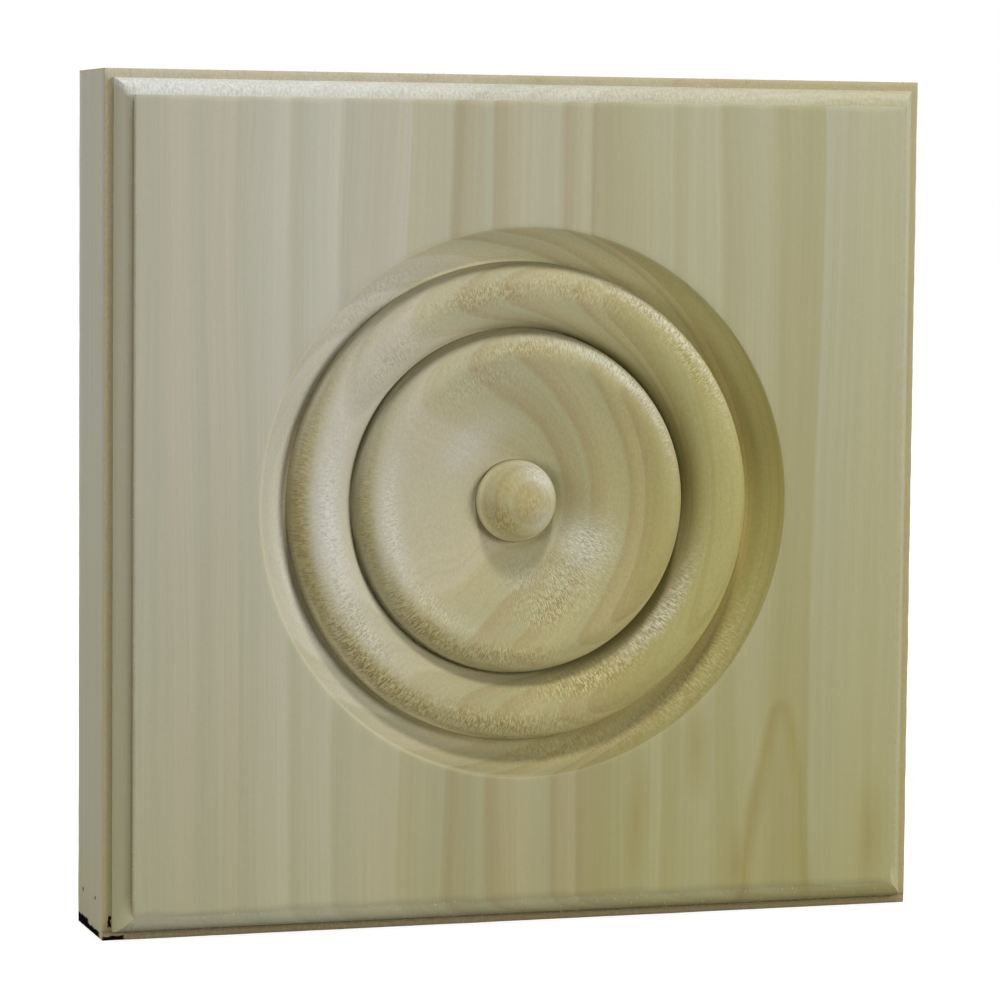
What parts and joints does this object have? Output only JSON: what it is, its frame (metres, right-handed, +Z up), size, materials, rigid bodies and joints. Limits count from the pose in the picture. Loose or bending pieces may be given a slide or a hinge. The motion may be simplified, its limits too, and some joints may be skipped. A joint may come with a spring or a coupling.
{
  "type": "corner rosette block",
  "caption": "Square wooden corner block with a moulded edge and a turned bull's-eye rosette, set where door or window casings meet.",
  "frame": {"origin": "centre of the flat back face, which lies on the wall", "axes": "+Z up along the grain, -Y out of the moulded face into the room, +Y into the wall, +X to the right seen from the front"},
  "size_m": [0.1142, 0.0191, 0.1142],
  "materials": {
    "wood": "machined, unfinished"
  },
  "bodies": {
    "root": {"rosette_block": "wood"}
  },
  "joints": []
}
